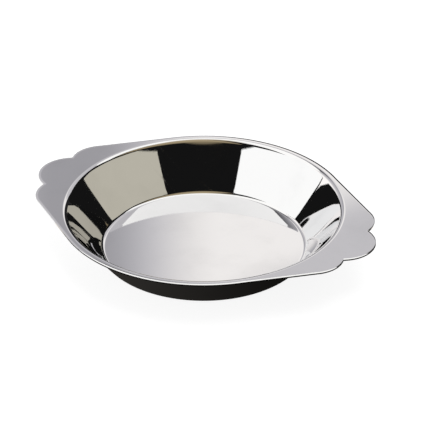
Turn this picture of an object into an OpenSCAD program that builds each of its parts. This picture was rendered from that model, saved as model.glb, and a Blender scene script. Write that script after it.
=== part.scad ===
/* Round rarebit dish pressed from one sheet: a shallow bowl with a sloped wall, a
   narrow level rim and two level three-lobed ears, its edge rounded over all round.
   The dish rests on z = 0 and its ears point along x. */

/* [Overall] */
// Diameter of the rim across the front and back
rim_d = 159.6; // [150:0.2:170]
// Length over the tips of both ears
ear_span = 200.8; // [192:0.2:210]
// Overall height, from the table to the top of the rim
dish_h = 25.4; // [18:0.2:34]
// Thickness of the sheet
sheet = 1; // [0.7:0.05:1.4]

/* [Bowl] */
// Diameter of the level floor, inside its fillet
floor_d = 108.8; // [90:0.2:124]
// Radius of the fillet between the floor and the wall, on its top side
floor_fillet = 3; // [1.5:0.1:6]
// Radius of the lip that turns the wall out to the level rim, on its top side
lip_r = 3.8; // [1.8:0.1:5]
// Width of the level band between the lip and the rounded edge, front and back
rim_land = 1.1; // [0.4:0.1:4]

/* [Ears] */
// Radius of the middle lobe of an ear
lobe_r = 18.7; // [15:0.1:22]
// Distance of the shoulder lobes' centres behind the ear's tip, along the ears
shoulder_back = 27.1; // [24:0.1:30]
// Distance of a shoulder lobe's centre to the side of the ear's middle line
shoulder_y = 20.5; // [18.5:0.1:22.5]
// Radius of a shoulder lobe
shoulder_r = 17.7; // [15:0.1:20]

/* [Edge] */
// Width over which the top of the edge rounds over
edge_w = 1.4; // [0.4:0.1:2]
// Depth by which the top of the edge rounds over, down to its straight side
edge_drop = 0.35; // [0.1:0.05:0.5]

/* [Hidden] */
$fn = 96;
arc_steps = 9;     // steps in each arc of the bowl's section
edge_steps = 5;    // steps in the round of the edge
lap = 0.3;         // width by which the bowl's rim runs into the ears' plate
flank_set = 0.05;  // how far a flank sits inside the curves it joins, so it runs into them
clear = 1;         // how far a cutting body runs past what it cuts

rim_r = rim_d/2;
lip_out = rim_r - edge_w - rim_land;

// Points of an arc round c, from angle a0 to angle a1
function arc(c, r, a0, a1, steps = arc_steps) = [for (i = [0 : steps])
    let (a = a0 + (a1 - a0)*i/steps) c + r*[cos(a), sin(a)]];

// The bowl's section. The wall is the line that touches both the lip's arc and the
// floor's fillet, so its slope follows from where their centres lie.
lip_c = [lip_out, dish_h - lip_r];
floor_c = [floor_d/2, sheet + floor_fillet];
centres = lip_c - floor_c;
wall_slope = atan2(centres[1], centres[0]) + asin((lip_r + floor_fillet)/norm(centres));

// One side of the sheet, from the rim in to the middle of the floor, at a depth
// below its top side
function sheet_side(depth) = concat(
    [[lip_out + lap, dish_h - depth]],
    arc(lip_c, lip_r - depth, 90, 90 + wall_slope),
    arc(floor_c, floor_fillet + depth, wall_slope - 90, -90),
    [[0, sheet - depth]]);

module bowl() {
    top = sheet_side(0);
    under = sheet_side(sheet);
    rotate_extrude()
        polygon(concat(top, [for (i = [len(under) - 1 : -1 : 0]) under[i]]));
}

// A shoulder lobe's centre, and the direction square to the flank: the flank is the
// line that touches the rim's circle and the shoulder lobe's. Its plate reaches in past
// the lip, so it also fills the ear between its lobes and the rim.
lobe_x = ear_span/2 - lobe_r;
shoulder = [ear_span/2 - shoulder_back, shoulder_y];
flank_turn = atan2(shoulder[1], shoulder[0]) + acos((rim_r - shoulder_r)/norm(shoulder));
flank_len = sqrt(pow(norm(shoulder), 2) - pow(rim_r - shoulder_r, 2));

// Section of the plate from x = x_in out to the edge's side at x = x_out. The top of the
// edge rounds over as a quarter of an ellipse.
module edge_section(x_in, x_out) {
    low = dish_h - sheet;
    polygon(concat(
        [[x_in, low], [x_out, low]],
        [for (p = arc([0, 0], 1, 0, 90, edge_steps))
            [x_out - edge_w*(1 - p[0]), dish_h - edge_drop*(1 - p[1])]],
        [[x_in, dish_h]]));
}

module plate_disc(r)
    rotate_extrude() edge_section(0, r);

module flank()
    rotate([0, 0, flank_turn]) rotate([90, 0, 0]) linear_extrude(height = flank_len)
        edge_section(0, rim_r - flank_set);

// The whole level plate: the rim's disc, and three lobes and two flanks at each ear
module plate() {
    plate_disc(rim_r);
    for (end = [0, 1]) mirror([end, 0, 0]) {
        translate([lobe_x, 0, 0]) plate_disc(lobe_r);
        for (side = [0, 1]) mirror([0, side, 0]) {
            translate([shoulder[0], shoulder[1], 0]) plate_disc(shoulder_r);
            flank();
        }
    }
}

module rim_and_ears() difference() {
    plate();
    translate([0, 0, dish_h - sheet - clear])
        cylinder(h = sheet + 2*clear, r = lip_out);
}

module dish() color("silver") {
    bowl();
    rim_and_ears();
}

dish();
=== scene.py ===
"""Studio scene of a round rarebit dish with two scalloped ears.

The dish is one polished sheet. A node tree lofts its section round the rule that
gives the rim, the flanks and the lobes of the ears, and the result stands for the
CAD node. The rest is the studio: a pale floor, soft light and reflected cards.
"""
import logging
import math
from dataclasses import dataclass, field
from enum import Enum

import bpy
from mathutils import Matrix, Vector


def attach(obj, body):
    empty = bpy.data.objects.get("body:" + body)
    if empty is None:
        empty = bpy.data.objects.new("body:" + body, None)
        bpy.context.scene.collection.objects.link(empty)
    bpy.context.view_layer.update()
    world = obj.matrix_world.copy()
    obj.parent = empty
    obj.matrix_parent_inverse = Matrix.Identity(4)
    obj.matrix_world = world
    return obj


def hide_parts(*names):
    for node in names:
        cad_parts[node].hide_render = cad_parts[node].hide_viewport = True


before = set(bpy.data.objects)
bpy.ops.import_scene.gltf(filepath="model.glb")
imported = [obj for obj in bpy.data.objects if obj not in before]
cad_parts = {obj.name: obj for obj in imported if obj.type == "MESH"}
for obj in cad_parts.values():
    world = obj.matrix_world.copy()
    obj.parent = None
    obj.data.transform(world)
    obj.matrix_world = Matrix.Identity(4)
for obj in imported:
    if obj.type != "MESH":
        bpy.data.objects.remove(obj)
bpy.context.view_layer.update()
LOG = logging.getLogger("rarebit_dish")

MM = 0.001
RIM_RADIUS = 79.8 * MM
HEIGHT = 25.4 * MM
QUARTER_TURN = math.pi / 2.0
Colour = tuple[float, float, float]
Span = tuple[float, float]


def spread(start: float, end: float, steps: int) -> list[float]:
    """Return numbers in even steps from one to the other, both ends included."""
    return [start + (end - start) * i / steps for i in range(steps + 1)]


def shade_tree(owner: bpy.types.ID) -> bpy.types.NodeTree:
    """Turn on a data-block's node tree and empty it.

    Args:
        owner: A material or a world.

    Returns:
        The empty tree.
    """
    owner.use_nodes = True
    owner.node_tree.nodes.clear()
    return owner.node_tree


class Term:
    """A number in a node tree, joined to others by arithmetic signs."""

    def __init__(self, tree: bpy.types.NodeTree, socket: bpy.types.NodeSocket) -> None:
        """Keep the tree and the socket that carries the number.

        Args:
            tree: The tree that the socket's node is in.
            socket: The output socket.
        """
        self.tree = tree
        self.socket = socket

    def math(self, operation: str, *others: "Term | float") -> "Term":
        """Put this term and others through one Math node.

        Args:
            operation: The Math node's operation.
            others: The operands after this one.

        Returns:
            The result.
        """
        node = self.tree.nodes.new("ShaderNodeMath")
        node.operation = operation
        for socket, value in zip(node.inputs, (self, *others)):
            if isinstance(value, Term):
                self.tree.links.new(value.socket, socket)
            else:
                socket.default_value = value
        return Term(self.tree, node.outputs[0])

    def __add__(self, other: "Term | float") -> "Term":
        """Return the sum."""
        return self.math("ADD", other)

    def __sub__(self, other: "Term | float") -> "Term":
        """Return the difference."""
        return self.math("SUBTRACT", other)

    def __mul__(self, other: "Term | float") -> "Term":
        """Return the product."""
        return self.math("MULTIPLY", other)

    def __truediv__(self, other: "Term | float") -> "Term":
        """Return the quotient."""
        return self.math("DIVIDE", other)

    def at_least(self, other: "Term | float") -> "Term":
        """Return the larger of the two."""
        return self.math("MAXIMUM", other)

    def above(self, other: "Term | float") -> "Term":
        """Return 1 where this term is the larger, and 0 elsewhere."""
        return self.math("GREATER_THAN", other)

    def step(self, low: float, high: float) -> "Term":
        """Write a smooth step.

        Args:
            low: Where the step starts.
            high: Where it ends, which may be the smaller number.

        Returns:
            0 up to where it starts, 1 from where it ends, and a smooth rise between.
        """
        node = self.tree.nodes.new("ShaderNodeMapRange")
        node.interpolation_type = "SMOOTHSTEP"
        self.tree.links.new(self.socket, node.inputs["Value"])
        node.inputs["From Min"].default_value = low
        node.inputs["From Max"].default_value = high
        return Term(self.tree, node.outputs["Result"])

    def between(self, start: Colour, end: Colour) -> bpy.types.NodeSocket:
        """Go from one colour to another with this term.

        Args:
            start: The colour at 0.
            end: The colour at 1.

        Returns:
            The socket that carries the colour.
        """
        mix = self.tree.nodes.new("ShaderNodeMix")
        mix.data_type = "RGBA"
        mix.inputs["A"].default_value = (*start, 1.0)
        mix.inputs["B"].default_value = (*end, 1.0)
        self.tree.links.new(self.socket, mix.inputs["Factor"])
        return mix.outputs["Result"]


def split(tree: bpy.types.NodeTree, vector: bpy.types.NodeSocket) -> tuple[Term, Term, Term]:
    """Take a vector apart.

    Args:
        tree: The tree that the vector's node is in.
        vector: The output socket that carries it.

    Returns:
        Its parts along X, Y and Z.
    """
    node = tree.nodes.new("ShaderNodeSeparateXYZ")
    tree.links.new(vector, node.inputs[0])
    return tuple(Term(tree, part) for part in node.outputs)


@dataclass(frozen=True)
class Ring:
    """One ring of the sheet's surface. Between the bowl and the edge it blends both."""

    radius: float
    """Radius of the bowl's circle."""
    height: float
    """Height above the table."""
    reach: float = 0.0
    """Share of the way from the bowl's circle out to the dish's outline."""
    inset: float = 0.0
    """Distance of the outline's own curve inside the dish's outermost edge."""


@dataclass
class SheetSection:
    """The section of the pressed sheet, in metres, from the floor's middle out and back."""

    rim_radius: float = RIM_RADIUS
    height: float = HEIGHT
    sheet: float = 1.0 * MM
    """The sheet's thickness."""
    floor_radius: float = 54.4 * MM
    floor_fillet: float = 3.0 * MM
    lip: float = 3.8 * MM
    """Radius of the lip on the sheet's top side."""
    land: float = 1.1 * MM
    """Width of the level rim between the lip and the edge."""
    edge_width: float = 1.4 * MM
    """How far in from the edge its rounded top starts."""
    edge_drop: float = 0.20 * MM
    """How far the rounded top falls on its way to the corner."""
    corner: float = 0.06 * MM
    """Radius with which the rounded top meets the side."""
    burr: float = 0.05 * MM
    """Rounding of the edge's lower corner."""
    floor_shares: tuple[float, ...] = (0.0, 0.25, 0.5, 0.75, 0.92, 0.99)
    """Shares of the floor's radius at which its rings lie."""
    plate_shares: tuple[float, ...] = (0.012, 0.15, 0.4, 0.7, 0.93, 0.99)
    """Shares of the way from the lip to the edge at which the plate's rings lie."""
    arc_steps: int = 11
    wall_steps: int = 4
    edge_steps: int = 8
    corner_steps: int = 4
    burr_steps: int = 3

    @property
    def lip_start(self) -> float:
        """Radius at which the level rim starts to turn down."""
        return self.rim_radius - self.edge_width - self.land

    @property
    def wall_slope(self) -> float:
        """Slope of the wall that touches both the lip's arc and the floor's fillet."""
        run = self.lip_start - self.floor_radius
        rise = self.height - self.lip - self.sheet - self.floor_fillet
        turn = math.asin((self.lip + self.floor_fillet) / math.hypot(run, rise))
        return math.atan2(rise, run) + turn

    def bowl_side(self, depth: float) -> list[Ring]:
        """List the bowl's rings on one side of the sheet, from the middle out.

        Args:
            depth: Depth below the sheet's top side.

        Returns:
            The rings from the floor's middle to the lip's start.
        """
        floor = self.sheet - depth
        rings = [Ring(self.floor_radius * share, floor) for share in self.floor_shares]
        fillet = self.floor_fillet + depth
        for turn in spread(0.0, self.wall_slope, self.arc_steps):
            rings.append(Ring(self.floor_radius + fillet * math.sin(turn),
                              floor + fillet * (1.0 - math.cos(turn))))
        lip = self.lip - depth
        lip_rings = [Ring(self.lip_start - lip * math.sin(turn),
                          self.height - depth - lip * (1.0 - math.cos(turn)))
                     for turn in spread(self.wall_slope, 0.0, self.arc_steps)]
        low, high = rings[-1], lip_rings[0]
        for turn in spread(0.0, math.pi, self.wall_steps)[1:-1]:
            share = 0.5 - 0.5 * math.cos(turn)
            rings.append(Ring(low.radius + (high.radius - low.radius) * share,
                              low.height + (high.height - low.height) * share))
        return rings + lip_rings

    def plate_side(self, depth: float) -> list[Ring]:
        """List the level plate's rings on one side of the sheet, from the lip out.

        Args:
            depth: Depth below the sheet's top side.

        Returns:
            The rings between the lip's start and the start of the rounded edge.
        """
        return [Ring(self.lip_start, self.height - depth, share, self.edge_width)
                for share in self.plate_shares]

    def edge(self) -> list[Ring]:
        """List the edge's rings, from the plate's top side round to its underside.

        Returns:
            The rings over the rounded top, down the side and round the lower corner.
        """
        lean = math.atan(2.0 * self.edge_drop / self.edge_width)
        ease = self.corner * (1.0 - math.sin(lean))
        spots = [(self.edge_drop * share ** 2, ease + (self.edge_width - ease) * (1.0 - share))
                 for share in spread(0.0, 1.0, self.edge_steps)]
        spots += [(self.edge_drop + self.corner * (math.cos(lean) - math.cos(turn)),
                   self.corner * (1.0 - math.sin(turn)))
                  for turn in spread(lean, QUARTER_TURN, self.corner_steps)[1:]]
        spots += [(self.sheet - self.burr * (1.0 - math.sin(turn)),
                   self.burr * (1.0 - math.cos(turn)))
                  for turn in spread(0.0, QUARTER_TURN, self.burr_steps)]
        return [Ring(0.0, self.height - depth, 1.0, inset) for depth, inset in spots]

    def rings(self) -> list[Ring]:
        """Return every ring, from the middle above, over the edge, to the middle below."""
        top = self.bowl_side(0.0) + self.plate_side(0.0)
        under = self.bowl_side(self.sheet) + self.plate_side(self.sheet)
        return top + self.edge() + under[::-1]


@dataclass
class EarOutline:
    """The rule of the dish's outline: a rim's circle, two flanks and three lobes an ear."""

    rim_radius: float = RIM_RADIUS
    lobe_x: float = 81.7 * MM
    """Distance of the middle lobe's centre from the dish's middle."""
    lobe_radius: float = 18.7 * MM
    shoulder_x: float = 73.3 * MM
    """Distance of the outer lobes' centres from the dish's middle, along the ears."""
    shoulder_y: float = 20.5 * MM
    """The same, across the ears."""
    shoulder_radius: float = 17.7 * MM
    flank_set: float = 0.05 * MM
    """How far the flanks lie inside the line that touches the rim."""

    @property
    def shoulder_reach(self) -> float:
        """Distance of an outer lobe's centre from the dish's middle."""
        return math.hypot(self.shoulder_x, self.shoulder_y)

    @property
    def flank_turn(self) -> float:
        """Direction square to the flank in the first quarter."""
        lean = math.acos((self.rim_radius - self.shoulder_radius) / self.shoulder_reach)
        return math.atan2(self.shoulder_y, self.shoulder_x) + lean

    @property
    def flank_length(self) -> float:
        """Length of the flank between the two curves that it joins."""
        step = self.rim_radius - self.shoulder_radius
        return math.sqrt(self.shoulder_reach ** 2 - step ** 2)

    def inputs(self) -> dict[str, float]:
        """Return the node tree's named inputs and their values."""
        return {
            "Rim Radius": self.rim_radius,
            "Lobe Distance": self.lobe_x,
            "Lobe Radius": self.lobe_radius,
            "Shoulder Distance": self.shoulder_x,
            "Shoulder Offset": self.shoulder_y,
            "Shoulder Radius": self.shoulder_radius,
            "Flank Set": self.flank_set,
            "Flank Turn": self.flank_turn,
            "Flank Length": self.flank_length,
        }

    @staticmethod
    def reach(given: dict[str, Term], east: Term, north: Term, inset: Term) -> Term:
        """Write the rule into the tree: how far the outline lies in one direction.

        Args:
            given: The tree's inputs by name.
            east: The direction's part along the ears, folded to be positive.
            north: The direction's part across the ears, folded to be positive.
            inset: How far inside the outermost edge the curve runs.

        Returns:
            The distance from the dish's middle.
        """
        turn = given["Flank Turn"]
        across_x, across_y = turn.math("COSINE"), turn.math("SINE")
        facing = east * across_x + north * across_y
        sliding = north * across_x - east * across_y
        flank = (given["Rim Radius"] - given["Flank Set"] - inset) / facing
        along = flank * sliding
        on_flank = (along * -1.0).above(0.0) * (given["Flank Length"] + along).above(0.0)

        def disc(x: Term, y: Term | float, radius: Term) -> Term:
            """Find where a ray from the middle leaves a disc.

            Args:
                x: The disc's centre along the ears.
                y: The disc's centre across the ears.
                radius: The disc's radius at the outermost edge.

            Returns:
                The distance, or 0 where the ray misses.
            """
            toward = x * east + north * y
            aside = north * x - east * y
            half = (radius - inset).math("POWER", 2.0) - aside * aside
            return (toward + half.at_least(0.0).math("SQRT")) * half.above(0.0)

        lobe = disc(given["Lobe Distance"], 0.0, given["Lobe Radius"])
        shoulder = disc(given["Shoulder Distance"], given["Shoulder Offset"],
                        given["Shoulder Radius"])
        rim = given["Rim Radius"] - inset
        return rim.at_least(flank * on_flank).at_least(lobe).at_least(shoulder)


@dataclass(frozen=True)
class PolishedSteel:
    """Mirror-polished stainless steel with faint turning lines and hairline scratches."""

    name: str = "polished_steel"
    colour: Colour = (0.80, 0.80, 0.81)
    roughness: float = 0.018
    stain_scale: float = 38.0
    stain_detail: float = 4.0
    stain_shade: float = 0.95
    """Share of the colour that is left where the sheet is dulled."""
    shade_limits: Span = (0.45, 0.75)
    """The noise's values between which the colour changes."""
    haze: float = 0.03
    """Roughness that a dulled spot adds."""
    haze_limits: Span = (0.4, 0.8)
    """The noise's values between which it is added."""
    turning_pitch: float = 0.35 * MM
    fine_pitch: float = 0.1295 * MM
    """Pitch of the finer turning lines between the wide ones."""
    fine_depth: float = 0.6
    """Depth of the finer lines, where the wide ones' is 1."""
    scratch_depth: float = 1.5
    """Depth of the scratches on the same scale."""
    scratch_haze: float = 0.06
    """Roughness that a scratch adds."""
    scratch_sets: tuple[Span, ...] = ((0.4, 1.0), (1.5, 5.0), (2.5, 9.0))
    """Each set's direction in radians, and the shift that sets it apart."""
    scratch_scale: tuple[float, float, float] = (9.0, 900.0, 9.0)
    """Scales of the noise along and across the scratches."""
    scratch_limits: Span = (0.7, 0.78)
    """The noise's values between which a scratch starts."""
    bump_strength: float = 0.008
    bump_distance: float = 0.02 * MM

    def material(self) -> bpy.types.Material:
        """Build the finish.

        Returns:
            The material.
        """
        made = bpy.data.materials.new(self.name)
        tree = shade_tree(made)
        nodes, links = tree.nodes, tree.links
        output = nodes.new("ShaderNodeOutputMaterial")
        metal = nodes.new("ShaderNodeBsdfPrincipled")
        metal.inputs["Metallic"].default_value = 1.0
        links.new(metal.outputs["BSDF"], output.inputs["Surface"])

        place = nodes.new("ShaderNodeTexCoord").outputs["Object"]
        stain = self.noise(tree, place, self.stain_scale, self.stain_detail)
        scratch = self.scratches(tree, place)
        dulled = tuple(part * self.stain_shade for part in self.colour)
        tint = stain.step(*self.shade_limits).between(self.colour, dulled)
        links.new(tint, metal.inputs["Base Color"])
        rough = (stain.step(*self.haze_limits) * self.haze + scratch * self.scratch_haze
                 + self.roughness)
        links.new(rough.socket, metal.inputs["Roughness"])

        bump = nodes.new("ShaderNodeBump")
        bump.inputs["Strength"].default_value = self.bump_strength
        bump.inputs["Distance"].default_value = self.bump_distance
        height = self.turning(tree, place) - scratch * self.scratch_depth
        links.new(height.socket, bump.inputs["Height"])
        links.new(bump.outputs["Normal"], metal.inputs["Normal"])
        return made

    @staticmethod
    def noise(tree: bpy.types.NodeTree, place: bpy.types.NodeSocket,
              scale: float, detail: float) -> Term:
        """Write a noise.

        Args:
            tree: The material's tree.
            place: The coordinates that it follows.
            scale: Its scale.
            detail: Its detail.

        Returns:
            The noise's value.
        """
        node = tree.nodes.new("ShaderNodeTexNoise")
        node.inputs["Scale"].default_value = scale
        node.inputs["Detail"].default_value = detail
        tree.links.new(place, node.inputs["Vector"])
        return Term(tree, node.outputs["Fac"])

    def turning(self, tree: bpy.types.NodeTree, place: bpy.types.NodeSocket) -> Term:
        """Write the turning lines, which are rings round the dish's middle.

        Args:
            tree: The material's tree.
            place: The object coordinates.

        Returns:
            Their height, where the wide ones' is 1.
        """
        x, y, _ = split(tree, place)
        radius = (x * x + y * y).math("SQRT")
        wide, fine = ((radius * (math.tau / pitch)).math("SINE")
                      for pitch in (self.turning_pitch, self.fine_pitch))
        return wide + fine * self.fine_depth

    def scratches(self, tree: bpy.types.NodeTree, place: bpy.types.NodeSocket) -> Term:
        """Write hairline scratches that run several ways.

        Args:
            tree: The material's tree.
            place: The object coordinates.

        Returns:
            1 along a scratch and 0 elsewhere, with soft sides.
        """
        total = None
        for turn, shift in self.scratch_sets:
            turned = tree.nodes.new("ShaderNodeMapping")
            turned.inputs["Rotation"].default_value = (0.0, 0.0, turn)
            turned.inputs["Location"].default_value = (shift, 0.0, 0.0)
            turned.inputs["Scale"].default_value = self.scratch_scale
            tree.links.new(place, turned.inputs["Vector"])
            streak = self.noise(tree, turned.outputs["Vector"], scale=1.0, detail=1.0)
            line = streak.step(*self.scratch_limits)
            total = line if total is None else total.at_least(line)
        return total


@dataclass
class RarebitDish:
    """The whole dish, as one smooth sheet that stands for the CAD node."""

    node: str = "dish"
    name: str = "dish_sheet"
    section: SheetSection = field(default_factory=SheetSection)
    outline: EarOutline = field(default_factory=EarOutline)
    finish: PolishedSteel = field(default_factory=PolishedSteel)
    around: int = 1000
    """Points in each ring. The last one lies on the first."""
    weld: float = 0.001 * MM
    """Distance within which points are merged."""

    def inputs(self) -> dict[str, int | float]:
        """Return the node tree's named sizes and their values."""
        return {"Points Around": self.around, **self.outline.inputs()}

    def section_mesh(self) -> bpy.types.Mesh:
        """Store the section's rings as the points of a mesh.

        Returns:
            The mesh, with each ring's reach and inset as point attributes.
        """
        rings = self.section.rings()
        mesh = bpy.data.meshes.new(self.name)
        mesh.from_pydata([(ring.radius, 0.0, ring.height) for ring in rings], [], [])
        for label in ("reach", "inset"):
            values = mesh.attributes.new(label, "FLOAT", "POINT")
            values.data.foreach_set("value", [getattr(ring, label) for ring in rings])
        return mesh

    def tree(self) -> bpy.types.GeometryNodeTree:
        """Build the node tree that lofts the section round the outline's rule.

        Returns:
            The tree.
        """
        tree = bpy.data.node_groups.new("eared_sheet", "GeometryNodeTree")
        self.interface(tree)
        nodes, links = tree.nodes, tree.links
        entry, exit_ = nodes.new("NodeGroupInput"), nodes.new("NodeGroupOutput")
        grid, turn, index = self.grid(tree, entry)

        def sampled(value: bpy.types.NodeSocket) -> Term:
            """Read a number from the section's point that a ring stands on.

            Args:
                value: The number, as a field of the section.

            Returns:
                The number, as a field of the grid.
            """
            node = nodes.new("GeometryNodeSampleIndex")
            node.data_type, node.domain = "FLOAT", "POINT"
            links.new(entry.outputs["Section"], node.inputs["Geometry"])
            links.new(value, node.inputs["Value"])
            links.new(index.socket, node.inputs["Index"])
            return Term(tree, node.outputs[0])

        def attribute(label: str) -> Term:
            """Read one of the section's own attributes in the same way.

            Args:
                label: The attribute's name.

            Returns:
                Its value, as a field of the grid.
            """
            named = nodes.new("GeometryNodeInputNamedAttribute")
            named.data_type = "FLOAT"
            named.inputs["Name"].default_value = label
            return sampled(named.outputs["Attribute"])

        spot = split(tree, nodes.new("GeometryNodeInputPosition").outputs[0])
        radius, height = sampled(spot[0].socket), sampled(spot[2].socket)
        east, north = turn.math("COSINE"), turn.math("SINE")
        given = {label: Term(tree, entry.outputs[label]) for label in self.outline.inputs()}
        edge = self.outline.reach(given, east.math("ABSOLUTE"), north.math("ABSOLUTE"),
                                  attribute("inset"))
        out = radius + (edge - radius) * attribute("reach")

        join = nodes.new("ShaderNodeCombineXYZ")
        for axis, term in zip("XYZ", (east * out, north * out, height)):
            links.new(term.socket, join.inputs[axis])
        move = nodes.new("GeometryNodeSetPosition")
        links.new(grid, move.inputs["Geometry"])
        links.new(join.outputs[0], move.inputs["Position"])
        weld = nodes.new("GeometryNodeMergeByDistance")
        weld.inputs["Distance"].default_value = self.weld
        links.new(move.outputs[0], weld.inputs["Geometry"])
        real = nodes.new("GeometryNodeRealizeInstances")
        links.new(weld.outputs[0], real.inputs[0])
        coat = nodes.new("GeometryNodeSetMaterial")
        links.new(real.outputs[0], coat.inputs["Geometry"])
        links.new(entry.outputs["Finish"], coat.inputs["Material"])
        links.new(coat.outputs[0], exit_.inputs[0])
        return tree

    def interface(self, tree: bpy.types.GeometryNodeTree) -> None:
        """Give the node tree its named inputs and its output.

        Args:
            tree: The empty tree.
        """
        kinds = {int: "NodeSocketInt", float: "NodeSocketFloat"}
        new_socket = tree.interface.new_socket
        new_socket("Section", in_out="INPUT", socket_type="NodeSocketGeometry")
        for label, value in self.inputs().items():
            socket = new_socket(label, in_out="INPUT", socket_type=kinds[type(value)])
            socket.default_value = value
        new_socket("Finish", in_out="INPUT", socket_type="NodeSocketMaterial")
        new_socket("Sheet", in_out="OUTPUT", socket_type="NodeSocketGeometry")

    @staticmethod
    def grid(tree: bpy.types.GeometryNodeTree,
             entry: bpy.types.Node) -> tuple[bpy.types.NodeSocket, Term, Term]:
        """Make the flat grid that is bent into the sheet, with a row for each ring.

        Args:
            tree: The tree to write in.
            entry: The tree's input node.

        Returns:
            The grid, each point's turn round the dish, and the ring that it belongs to.
        """
        # The grid is a unit square, so its points run from -half to half both ways.
        half = 0.5
        nodes, links = tree.nodes, tree.links
        size = nodes.new("GeometryNodeAttributeDomainSize")
        size.component = "MESH"
        links.new(entry.outputs["Section"], size.inputs[0])
        rings = Term(tree, size.outputs["Point Count"])
        grid = nodes.new("GeometryNodeMeshGrid")
        for axis in ("Size X", "Size Y"):
            grid.inputs[axis].default_value = 2.0 * half
        links.new(entry.outputs["Points Around"], grid.inputs["Vertices X"])
        links.new(rings.socket, grid.inputs["Vertices Y"])
        column, row, _ = split(tree, nodes.new("GeometryNodeInputPosition").outputs[0])
        turn = (column + half) * math.tau
        index = ((row + half) * (rings - 1.0)).math("ROUND")
        return grid.outputs["Mesh"], turn, index

    def build(self) -> bpy.types.Object:
        """Make the sheet's plain mesh.

        Returns:
            The dish.
        """
        carrier = bpy.data.objects.new(self.name + "_section", self.section_mesh())
        bpy.context.scene.collection.objects.link(carrier)
        modifier = carrier.modifiers.new("sheet", "NODES")
        modifier.node_group = self.tree()
        values = {**self.inputs(), "Finish": self.finish.material()}
        for socket in modifier.node_group.interface.items_tree:
            if socket.in_out == "INPUT" and socket.name in values:
                modifier[socket.identifier] = values[socket.name]
        graph = bpy.context.evaluated_depsgraph_get()
        mesh = bpy.data.meshes.new_from_object(carrier.evaluated_get(graph))
        carrier.modifiers.remove(modifier)
        bpy.data.objects.remove(carrier)
        mesh.name = self.name
        self.face_outwards(mesh)
        dish = bpy.data.objects.new(self.name, mesh)
        bpy.context.scene.collection.objects.link(dish)
        return dish

    @staticmethod
    def face_outwards(mesh: bpy.types.Mesh) -> None:
        """Turn the faces outwards where the loft left them inside out, and smooth them.

        Args:
            mesh: A closed mesh.
        """
        mesh.calc_loop_triangles()
        volume = 0.0
        for triangle in mesh.loop_triangles:
            a, b, c = (mesh.vertices[i].co for i in triangle.vertices)
            volume += a.dot(b.cross(c))
        if volume < 0.0:
            mesh.flip_normals()
        mesh.shade_smooth()

    def dress(self, dish: bpy.types.Object) -> None:
        """Hand the dish to the frame.

        Args:
            dish: The built dish.
        """
        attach(dish, "root")
        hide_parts(self.node)
        LOG.info("%s: %d faces", dish.name, len(dish.data.polygons))


@dataclass
class PhotoCamera:
    """The camera at the photograph's angle, distance and framing."""

    turn: float = 26.013
    """Degrees from the dish's front towards its right-hand ear."""
    rise: float = 30.854
    """Degrees above the table."""
    distance: float = 1.52
    """Metres from the middle of the rim."""
    scale: float = 1833.06
    """Pixels to a metre at the middle of the rim."""
    middle: tuple[float, float] = (203.849, 206.745)
    """Where the middle of the rim lies in the frame."""
    frame_size: float = 430.0
    """Width and height of the frame in pixels."""
    target_height: float = HEIGHT
    sensor: float = 36.0
    """Width of the sensor in millimetres."""

    @property
    def axes(self) -> tuple[Vector, Vector, Vector]:
        """Right, up and back of the view."""
        turn, rise = math.radians(self.turn), math.radians(self.rise)
        back = Vector((math.sin(turn) * math.cos(rise), -math.cos(turn) * math.cos(rise),
                       math.sin(rise)))
        right = Vector((math.cos(turn), math.sin(turn), 0.0))
        return right, back.cross(right), back

    @property
    def level_axes(self) -> tuple[Vector, Vector, Vector]:
        """Right, towards the camera along the table, and up."""
        right, _, back = self.axes
        return right, Vector((back.x, back.y, 0.0)).normalized(), Vector((0.0, 0.0, 1.0))

    def build(self) -> bpy.types.Object:
        """Make the camera.

        Returns:
            The camera, set as the scene's own.
        """
        right, up, back = self.axes
        aside, down = ((spot - self.frame_size / 2.0) / self.scale for spot in self.middle)
        place = (Vector((0.0, 0.0, self.target_height)) + back * self.distance
                 - right * aside + up * down)
        data = bpy.data.cameras.new("camera")
        data.sensor_width = self.sensor
        data.lens = self.sensor * self.scale * self.distance / self.frame_size
        camera = bpy.data.objects.new("camera", data)
        turned = Matrix((right, up, back)).transposed().to_4x4()
        camera.matrix_world = Matrix.Translation(place) @ turned
        bpy.context.scene.collection.objects.link(camera)
        bpy.context.scene.camera = camera
        return camera


class Side(Enum):
    """Where a studio card stands, seen from the camera."""

    LEFT = "left"
    RIGHT = "right"
    BEHIND = "behind"
    CANOPY = "canopy"
    CEILING = "ceiling"
    FRONT = "front"
    TENT = "tent"
    MAT = "shade_sheet"


@dataclass(frozen=True)
class Card:
    """A studio card that only reflections see, bent to a sphere round the dish."""

    side: Side
    turn: Span
    """From and to, in degrees: 0 is towards the camera, positive is its right."""
    low: Span
    """Elevation of the lower edge at both ends in degrees."""
    high: Span
    """Elevation of the upper edge at both ends in degrees."""
    colour: Colour
    distance: float = 4.0
    """Radius of the sphere in metres."""
    top: Colour | None = None
    """The colour at the top of a card that changes upwards."""
    change: Span = (0.0, 90.0)
    """Elevations in degrees between which it changes."""


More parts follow.
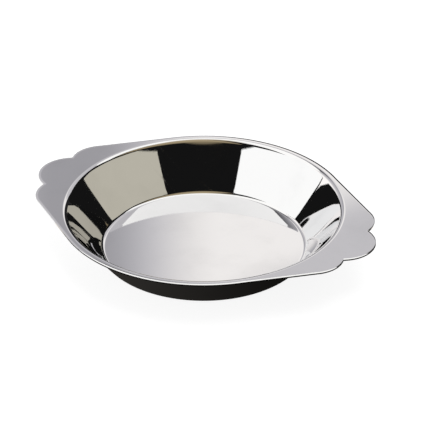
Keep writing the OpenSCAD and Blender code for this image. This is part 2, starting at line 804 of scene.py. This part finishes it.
@dataclass(frozen=True)
class Patch:
    """The greys on the card behind, which the level parts reflect. Lengths in metres."""

    left_level: float = 0.40
    middle_level: float = 1.03
    right_level: float = 0.64
    side_level: float = 0.58
    """The grey left of the patch, which the right side of the lip reflects."""
    white_level: float = 1.2
    low_levels: Span = (0.55, 0.02)
    """The greys under the patch on the left and the right."""
    left_fade: Span = (-0.085, 0.015)
    """Where the left level becomes the middle one. The camera's right is positive."""
    right_fade: Span = (0.02, 0.11)
    """Where the middle level becomes the right one."""
    right_lean: float = 2.5
    """How far that fade moves to the left, for each metre upwards."""
    lean_height: float = 0.33
    """The height at which it stands where it is given."""
    side_fade: Span = (-0.115, -0.16)
    """Where the left level becomes the grey beside it, further left."""
    white_fade: Span = (-0.22, -0.40)
    """Where that grey becomes white, further left again."""
    low_fade: Span = (-0.01, 0.045)
    """Where the left one of the greys under the patch becomes the right one."""
    height: Span = (0.265, 0.47)
    """The patch's lower and upper ends. Above it the card is white."""
    soft: float = 0.015
    """Half the width of the change at both ends."""
    cool: Colour = (1.02, 1.0, 1.055)
    """The tint of the dim parts."""
    warm: Colour = (1.03, 1.0, 0.975)
    """The tint of the bright parts."""


@dataclass(frozen=True)
class PaintedShadeSheet:
    """A dark sheet before the dish that only reflections see. It is painted shade, which the
    dish's outer side reflects in place of the shade under and before it. Lengths in metres.
    """

    colour: Colour = (1.0, 0.93, 0.84)
    left_level: float = 0.032
    right_level: float = 0.006
    fade: Span = (-0.08, 0.06)
    """Where the left level becomes the right one."""
    far_share: float = 0.15
    """Share of the level that is left away from the dish."""
    far_fade: Span = (0.078, 0.1)
    """Distances from the dish's middle between which it falls to that."""
    back_level: float = 0.9
    # The level at the sheet's back, beside the dish, where the painted shade brightens.
    """The level at the mat's back, beside the dish."""
    back_fade: Span = (0.006, -0.010)
    """Where it rises to that. Towards the camera is positive."""
    back: float = -0.012
    # Where the sheet ends at the back.
    """Where the mat ends at the back."""
    half: float = 0.5
    """How far it reaches forward and to both sides."""
    lift: float = 0.2 * MM
    """Height above the floor."""


@dataclass
class Studio:
    """The floor, the lamp, the world and the cards that the metal reflects."""

    camera: PhotoCamera
    patch: Patch = Patch()
    # Painted shade, seen only in reflections, that darkens the dish's outer side.
    shade_sheet: PaintedShadeSheet = PaintedShadeSheet()
    cards: tuple[Card, ...] = (
        # What no other card covers looks almost black.
        Card(Side.TENT, (0.0, 360.0), (-3.0, -3.0), (90.0, 90.0), (0.008, 0.008, 0.008),
             distance=5.5),
        # The wall shows the first of these white on its right and the other beige on its left.
        Card(Side.LEFT, (-116.0, -38.0), (3.0, 3.0), (43.0, 47.0), (1.2, 1.2, 1.18)),
        Card(Side.RIGHT, (47.0, 118.0), (3.0, 3.0), (45.5, 35.0), (0.58, 0.55, 0.46)),
        # The lip, the rim and the rounded edge show these two where they tilt.
        Card(Side.CANOPY, (112.0, 275.0), (50.0, 36.0), (90.0, 90.0), (1.22, 1.21, 1.18),
             distance=4.4, top=(0.50, 0.42, 0.28), change=(72.0, 84.0)),
        Card(Side.CEILING, (-40.0, 104.0), (51.0, 51.0), (90.0, 90.0), (0.22, 0.178, 0.11),
             distance=4.2, top=(0.46, 0.37, 0.23), change=(46.0, 88.0)),
        # The level parts show this one to a viewer who looks from behind.
        Card(Side.FRONT, (-44.0, 44.0), (7.0, 7.0), (39.0, 39.0), (0.42, 0.42, 0.43)),
    )
    behind: Card = Card(Side.BEHIND, (148.0, 238.0), (3.0, 20.0), (50.0, 43.0),
                        (1.0, 1.0, 1.0), distance=0.6)
    card_step: float = 3.0
    """Degrees between two rows of a card's points."""
    floor_half: float = 6.0
    """Half the floor's width in metres."""
    floor_grey: float = 0.25
    floor_glow: float = 0.88
    """What the floor adds of its own to the rays that see it."""
    lamp_place: tuple[float, float, float] = (0.25, 0.2, 1.9)
    lamp_size: float = 1.6
    """The lamp's diameter in metres."""
    lamp_power: float = 14.0
    """The lamp's power in watts."""
    fill_level: float = 0.6
    """The world's level where no camera ray or reflection sees it."""

    @staticmethod
    def glow(name: str, colour: Colour) -> tuple[bpy.types.Material, bpy.types.Node]:
        """Make a plain glowing card material.

        Args:
            name: The material's name.
            colour: The glow, where 1 is white.

        Returns:
            The material and its Emission node.
        """
        made = bpy.data.materials.new(name)
        tree = shade_tree(made)
        light = tree.nodes.new("ShaderNodeEmission")
        light.inputs["Color"].default_value = (*colour, 1.0)
        output = tree.nodes.new("ShaderNodeOutputMaterial")
        tree.links.new(light.outputs[0], output.inputs["Surface"])
        return made, light

    def place(self, material: bpy.types.Material) -> tuple[Term, Term, Term]:
        """Read where a card's point lies: to the camera's right, towards it, and up.

        Args:
            material: The card's material.

        Returns:
            The three distances from the dish's middle, in metres.
        """
        tree = material.node_tree
        spot = tree.nodes.new("ShaderNodeTexCoord").outputs["Object"]
        terms = []
        for axis in self.camera.level_axes:
            dot = tree.nodes.new("ShaderNodeVectorMath")
            dot.operation = "DOT_PRODUCT"
            tree.links.new(spot, dot.inputs[0])
            dot.inputs[1].default_value = axis
            terms.append(Term(tree, dot.outputs["Value"]))
        return tuple(terms)

    @staticmethod
    def reflected_only(thing: bpy.types.Object) -> None:
        """Hide a card from everything but reflections.

        Args:
            thing: The card.
        """
        thing.visible_camera = thing.visible_diffuse = thing.visible_shadow = False
        thing.visible_transmission = thing.visible_volume_scatter = False

    @staticmethod
    def sheet(name: str, rows: list[list[Vector]],
              material: bpy.types.Material) -> bpy.types.Object:
        """Make an object from rows of points.

        Args:
            name: The object's name.
            rows: Rows of as many points each.
            material: Its material.

        Returns:
            The object.
        """
        wide = len(rows[0])
        faces = [(r * wide + c, r * wide + c + 1, (r + 1) * wide + c + 1, (r + 1) * wide + c)
                 for r in range(len(rows) - 1) for c in range(wide - 1)]
        mesh = bpy.data.meshes.new(name)
        mesh.from_pydata([point for row in rows for point in row], [], faces)
        mesh.materials.append(material)
        thing = bpy.data.objects.new(name, mesh)
        bpy.context.scene.collection.objects.link(thing)
        return thing

    def card_rows(self, card: Card) -> list[list[Vector]]:
        """Work out a card's points.

        Args:
            card: The card.

        Returns:
            Its rows of points, from the lower edge up.
        """
        start = math.radians(self.camera.turn - 90.0)
        around = round((card.turn[1] - card.turn[0]) / self.card_step)
        up = round((max(card.high) - min(card.low)) / self.card_step)
        rows = []
        for j in range(up + 1):
            row = []
            for share in spread(0.0, 1.0, around):
                turn, low, high = (ends[0] * (1.0 - share) + ends[1] * share
                                   for ends in (card.turn, card.low, card.high))
                angle = start + math.radians(turn)
                rise = math.radians(low + (high - low) * j / up)
                row.append(Vector((math.cos(angle) * math.cos(rise),
                                   math.sin(angle) * math.cos(rise),
                                   math.sin(rise))) * card.distance)
            rows.append(row)
        return rows

    def stand(self, card: Card) -> tuple[bpy.types.Material, bpy.types.Node]:
        """Stand one card on its sphere.

        Args:
            card: The card.

        Returns:
            The card's material and its Emission node.
        """
        name = f"card_{card.side.value}"
        material, light = self.glow(name, card.colour)
        if card.top is not None:
            height = self.place(material)[2] / card.distance
            low, high = (math.sin(math.radians(rise)) for rise in card.change)
            colour = height.step(low, high).between(card.colour, card.top)
            material.node_tree.links.new(colour, light.inputs["Color"])
        self.reflected_only(self.sheet(name, self.card_rows(card), material))
        return material, light

    def stand_behind(self) -> None:
        """Stand the card behind the dish, with the greys that fade across it."""
        material, light = self.stand(self.behind)
        patch, links = self.patch, material.node_tree.links
        aside, _, height = self.place(material)
        white = aside.step(*patch.white_fade)
        leaning = aside + (height - patch.lean_height) * patch.right_lean
        across = (aside.step(*patch.left_fade) * (patch.middle_level - patch.left_level)
                  + patch.left_level
                  - leaning.step(*patch.right_fade) * (patch.middle_level - patch.right_level)
                  + aside.step(*patch.side_fade) * (patch.side_level - patch.left_level)
                  + white * (patch.white_level - patch.side_level))
        left, right = patch.low_levels
        under = (aside.step(*patch.low_fade) * (right - left) + left
                 + white * (patch.white_level - left))
        over_low, over_high = (height.step(end - patch.soft, end + patch.soft)
                               for end in patch.height)
        level = (under + (across - under) * over_low
                 + (across * -1.0 + patch.white_level) * over_high)
        links.new(level.socket, light.inputs["Strength"])
        tint = level.step(patch.left_level, patch.middle_level).between(patch.cool, patch.warm)
        links.new(tint, light.inputs["Color"])

    def lay_shade_sheet(self) -> None:
        """Lay the dark sheet of painted shade before the dish, which only reflections see."""
        shade_sheet, name = self.shade_sheet, f"card_{Side.MAT.value}"
        material, light = self.glow(name, shade_sheet.colour)
        aside, toward, _ = self.place(material)
        radius = (aside * aside + toward * toward).math("SQRT")
        # Painted shade for the outer side's reflection: a dim glow that is lighter on the
        # left, dimmer away from the dish, and bright at its back beside the dish.
        near = aside.step(*shade_sheet.fade) * (shade_sheet.right_level - shade_sheet.left_level) + shade_sheet.left_level
        share = radius.step(*shade_sheet.far_fade) * (shade_sheet.far_share - 1.0) + 1.0
        level = near * share + toward.step(*shade_sheet.back_fade) * shade_sheet.back_level
        material.node_tree.links.new(level.socket, light.inputs["Strength"])
        right, forward, up = self.camera.level_axes
        rows = [[right * x + forward * y + up * shade_sheet.lift for x in (-shade_sheet.half, shade_sheet.half)]
                for y in (shade_sheet.back, shade_sheet.half)]
        self.reflected_only(self.sheet(name, rows, material))

    @staticmethod
    def seen(tree: bpy.types.NodeTree) -> Term:
        """Tell the rays that see a surface from those that light others.

        Args:
            tree: The tree of a material or of the world.

        Returns:
            1 for camera, glossy and transmission rays, and 0 for the others.
        """
        path = tree.nodes.new("ShaderNodeLightPath")
        camera, glossy, through = (Term(tree, path.outputs[label]) for label in
                                   ("Is Camera Ray", "Is Glossy Ray", "Is Transmission Ray"))
        return camera.at_least(glossy).at_least(through)

    def floor(self) -> None:
        """Lay the pale floor, which keeps the dish's shadow."""
        made = bpy.data.materials.new("pale_floor")
        tree = shade_tree(made)
        nodes, links = tree.nodes, tree.links
        matt = nodes.new("ShaderNodeBsdfDiffuse")
        matt.inputs["Color"].default_value = (*(self.floor_grey,) * 3, 1.0)
        lift = nodes.new("ShaderNodeEmission")
        links.new((self.seen(tree) * self.floor_glow).socket, lift.inputs["Strength"])
        both = nodes.new("ShaderNodeAddShader")
        links.new(matt.outputs[0], both.inputs[0])
        links.new(lift.outputs[0], both.inputs[1])
        output = nodes.new("ShaderNodeOutputMaterial")
        links.new(both.outputs[0], output.inputs["Surface"])
        ends = (-self.floor_half, self.floor_half)
        rows = [[Vector((x, y, 0.0)) for x in ends] for y in ends]
        self.sheet("floor", rows, made)

    def lamp(self) -> None:
        """Hang one wide soft lamp that points at the dish."""
        data = bpy.data.lights.new("soft_box", "AREA")
        data.shape, data.size, data.energy = "DISK", self.lamp_size, self.lamp_power
        lamp = bpy.data.objects.new("soft_box", data)
        lamp.location = self.lamp_place
        lamp.rotation_euler = (-lamp.location).to_track_quat("-Z", "Y").to_euler()
        lamp.visible_camera = lamp.visible_glossy = False
        bpy.context.scene.collection.objects.link(lamp)

    def world(self) -> None:
        """Set the world's plain level, and show it white."""
        world = bpy.data.worlds.new("studio")
        bpy.context.scene.world = world
        tree = shade_tree(world)
        nodes, links = tree.nodes, tree.links
        choice = nodes.new("ShaderNodeMixShader")
        links.new(self.seen(tree).socket, choice.inputs["Fac"])
        for socket, level in zip(choice.inputs[1:], (self.fill_level, 1.0)):
            light = nodes.new("ShaderNodeBackground")
            light.inputs["Color"].default_value = (level, level, level, 1.0)
            links.new(light.outputs[0], socket)
        output = nodes.new("ShaderNodeOutputWorld")
        links.new(choice.outputs[0], output.inputs["Surface"])

    def build(self) -> None:
        """Set up the whole studio."""
        self.floor()
        self.lamp()
        self.world()
        for card in self.cards:
            self.stand(card)
        self.stand_behind()
        self.lay_shade_sheet()
        bpy.context.scene.view_settings.view_transform = "Standard"
        LOG.info("studio: %d cards, a mat, a floor and a lamp", len(self.cards) + 1)


def main() -> None:
    """Build the dish, the camera and the studio."""
    logging.basicConfig(level=logging.INFO, format="%(name)s %(message)s")
    dish = RarebitDish()
    dish.dress(dish.build())
    camera = PhotoCamera()
    camera.build()
    Studio(camera).build()


if __name__ == "__main__":
    main()
